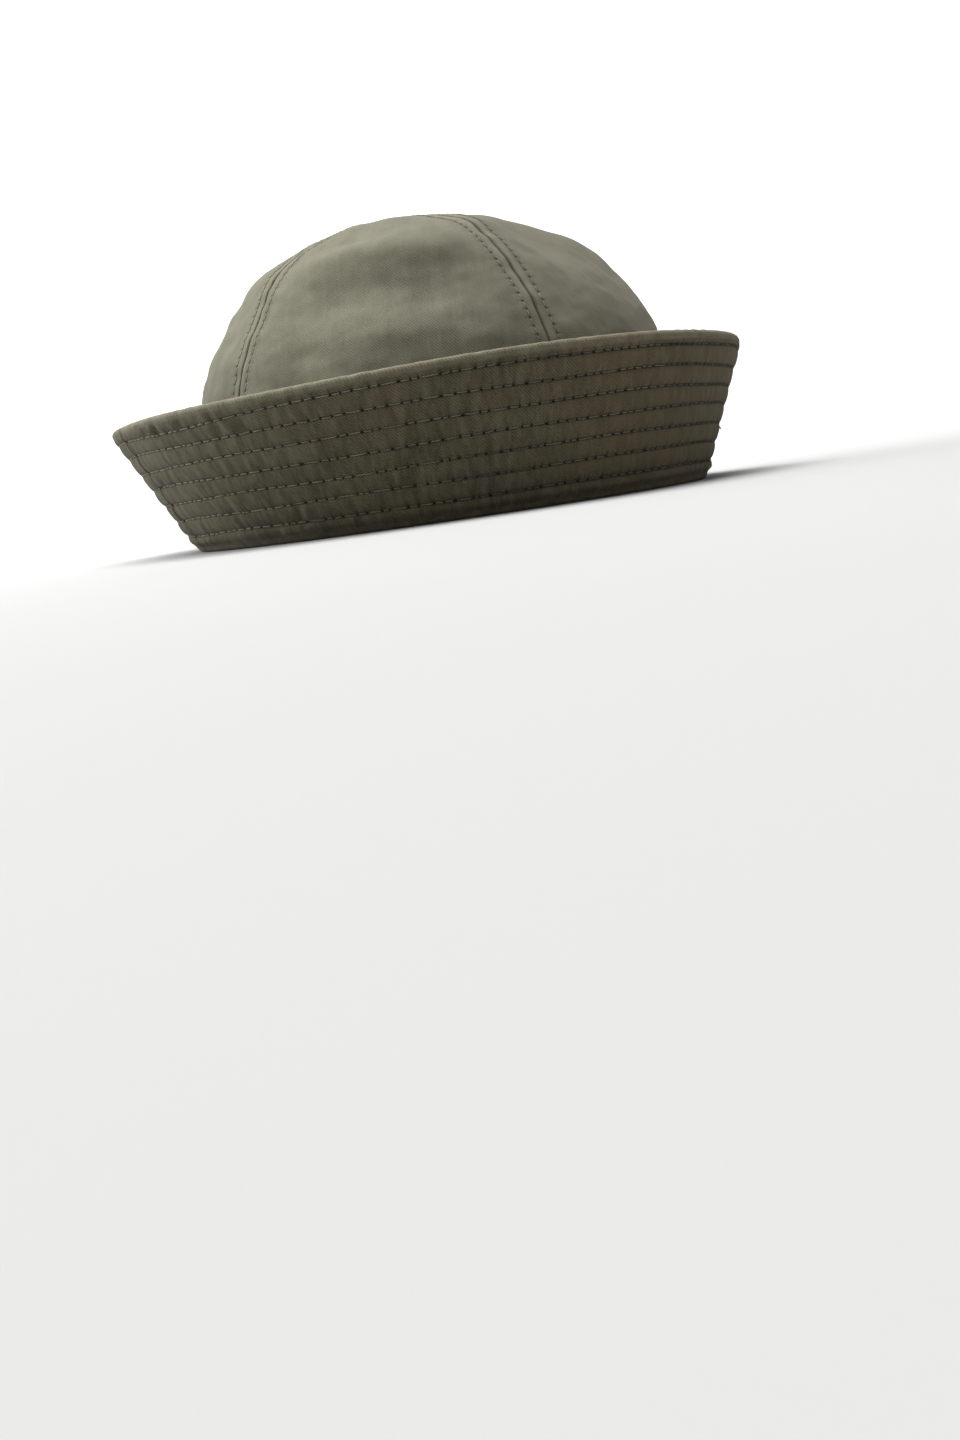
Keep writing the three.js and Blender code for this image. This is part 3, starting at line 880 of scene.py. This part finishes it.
def makeBand():
    azimuth = np.arange(band["columns"]) / band["columns"] * fullTurn
    rises = np.linspace(0, 1, band["steps"])
    rows = [bandPoint(azimuth, rise, 0) for rise in rises]
    rows += [bandPoint(azimuth, rise, 1) for rise in rises[::-1]]
    heights = np.append(rises, rises[::-1]) * (band["top"] - band["bottom"]) + band["bottom"]
    wearAndHighlight = sum(bell(heights - band[edge], band["wearAndHighlightReach"]) for edge in ("bottom", "top"))
    still = np.zeros((1, band["columns"]))
    masks = {"seamShade": 0 * heights[:, None] + still, "wearAndHighlight": wearAndHighlight[:, None] + still}
    around = np.append(azimuth, fullTurn)[None]
    up = np.append(heights, heights[0])[:, None]
    beside = np.min([np.abs(up - level) for level in band["stitchHeights"]], 0)
    grids = {"clothGrain": cornerPairs(around * (fold["halfLength"] - band["grainInward"]), up),
             "stitchGrid": cornerPairs(around / fullTurn * bandStitchCount, beside)}
    quads = ringQuads(len(rows), len(azimuth))
    addMesh("sweatbandTape", np.stack(rows), quads, grids, masks, bandTape, ("sweatband",))


def makeBandStitches():
    starts, ends, lifts = [], [], []
    holes = np.arange(bandStitchCount + 1) / bandStitchCount * fullTurn
    inset = band["stitchInset"] * fullTurn / bandStitchCount
    middle = (holes[:-1] + holes[1:]) / 2
    lift = ringPoints(middle, 0, 0) - ringPoints(middle, 1, 0)
    for level in band["stitchHeights"]:
        rise = (level - band["bottom"]) / (band["top"] - band["bottom"])
        starts.append(bandPoint(holes[:-1] + inset, rise, 1) + band["stitchLift"] * lift)
        ends.append(bandPoint(holes[1:] - inset, rise, 1) + band["stitchLift"] * lift)
        lifts.append(lift)
    addStitches("sweatbandStitches", starts, ends, lifts, band["threadRadius"])


makeBand()
makeBandStitches()


# Studio: a pale dish of a floor, soft light from above and the left, and the camera

studio = {
    "azimuth": -23.8, "distance": 0.535, "height": 0.012, "lens": 33.35, "sensor": 36.0, "roll": 8.3,
    "clipStart": 0.01, "imageSize": (960, 1440), "capPixel": (437, 385), "capMiddle": (0.0, 0.0, 0.05),
    "floorRadius": 0.7, "floorRings": (0.2, 0.5, 0.8), "wallRadius": 2.2, "wallRings": 24, "floorSides": 96,
    "floorColour": (0.31, 0.31, 0.305, 1), "floorShade": (0.30, 0.30, 0.296, 1),
    "floorPatch": 3.0, "floorRange": (0.3, 0.7), "floorRoughness": 0.9, "floorSpecular": 0.1,
    "world": (0.95, 0.97, 1.0, 1), "worldStrength": 0.3,
    # power, size, place and aim of each light, the last two measured to the right of the cap, ahead and up
    "topLight": (108.0, 2.0, (-0.3, 0.12, 1.9), (0, 0, 0.05)),
    "leftLight": (10.0, 0.7, (-0.95, 0.0, 0.5), (0, 0, 0.05)),
    "frontLight": (0.9, 0.9, (0.25, -1.0, 0.15), (0, 0, 0.03)),
    "wallLight": (150.0, 1.5, (-0.2, 1.1, 2.0), (-0.2, 2.9, 0.9)),
}
heading = math.radians(studio["azimuth"])
ahead = Vector((-math.sin(heading), math.cos(heading), 0))
rightward = Vector((math.cos(heading), math.sin(heading), 0))


def makeCamera():
    data = bpy.data.cameras.new("studioCamera")
    data.sensor_width = studio["sensor"]
    data.lens = studio["lens"]
    data.clip_start = studio["clipStart"]
    camera = bpy.data.objects.new("studioCamera", data)
    bpy.context.collection.objects.link(camera)
    place = -ahead * studio["distance"] + Vector((0, 0, studio["height"]))
    target = (Vector(studio["capMiddle"]) - place).normalized()
    width, height = studio["imageSize"]
    focal = studio["lens"] / studio["sensor"] * height
    pixelX, pixelY = studio["capPixel"]
    seen = Vector(((pixelX - width / 2) / focal, (height / 2 - pixelY) / focal, -1)).normalized()
    side = target.cross(Vector((0, 0, 1))).normalized()
    facing = Matrix((side, side.cross(target), -target)).transposed()  # looks straight at the cap's middle
    tilt = Matrix.Rotation(math.radians(-studio["roll"]), 3, "Z")
    aside = seen.rotation_difference(Vector((0, 0, -1))).to_matrix()  # brings the middle to its own pixel
    camera.matrix_world = Matrix.Translation(place) @ (facing @ tilt @ aside).to_4x4()
    bpy.context.scene.camera = camera


def fromCap(place):
    return rightward * place[0] + ahead * place[1] + Vector((0, 0, place[2]))


def addLight(name):
    power, size, place, aim = studio[name]
    data = bpy.data.lights.new(name, "AREA")
    data.energy = power
    data.shape = "DISK"
    data.size = size
    light = bpy.data.objects.new(name, data)
    bpy.context.collection.objects.link(light)
    light.location = fromCap(place)
    light.rotation_euler = (fromCap(aim) - fromCap(place)).to_track_quat("-Z", "Y").to_euler()


def makeFloor():
    material, tree, shader = newMaterial("paleFloor")
    tint = ramp(tree, noiseAt(tree, objectVector(tree), studio["floorPatch"]), *studio["floorRange"])
    colour = mixColours(tree, tint, studio["floorColour"], studio["floorShade"])
    tree.links.new(colour, shader.inputs["Base Color"])
    shader.inputs["Roughness"].default_value = studio["floorRoughness"]
    shader.inputs["Specular IOR Level"].default_value = studio["floorSpecular"]
    profile = [(studio["floorRadius"] * share, 0.0) for share in studio["floorRings"]]
    for turn in np.linspace(0, math.pi / 2, studio["wallRings"]):
        profile.append((studio["floorRadius"] + studio["wallRadius"] * math.sin(turn),
                        studio["wallRadius"] * (1 - math.cos(turn))))
    sides = studio["floorSides"]
    turns = np.arange(sides) / sides * fullTurn
    points = [(0.0, 0.0, 0.0)]
    points += [(out * math.cos(turn), out * math.sin(turn), up) for out, up in profile for turn in turns]
    faces = [(0, 1 + side, 1 + (side + 1) % sides) for side in range(sides)]
    for ring in range(len(profile) - 1):
        low = 1 + ring * sides
        high = low + sides
        for side in range(sides):
            after = (side + 1) % sides
            faces.append((low + side, high + side, high + after, low + after))
    mesh = bpy.data.meshes.new("paleFloor")
    mesh.from_pydata(points, [], faces)
    mesh.shade_smooth()
    mesh.materials.append(material)
    floor = bpy.data.objects.new("paleFloor", mesh)
    bpy.context.collection.objects.link(floor)


def makeWorld():
    world = bpy.data.worlds.new("studioWorld")
    world.use_nodes = True
    back = world.node_tree.nodes["Background"]
    back.inputs["Color"].default_value = studio["world"]
    back.inputs["Strength"].default_value = studio["worldStrength"]
    bpy.context.scene.world = world
    bpy.context.scene.view_settings.view_transform = "Standard"


makeCamera()
for lightName in ("topLight", "leftLight", "frontLight", "wallLight"):
    addLight(lightName)
makeFloor()
makeWorld()
print("studio made")
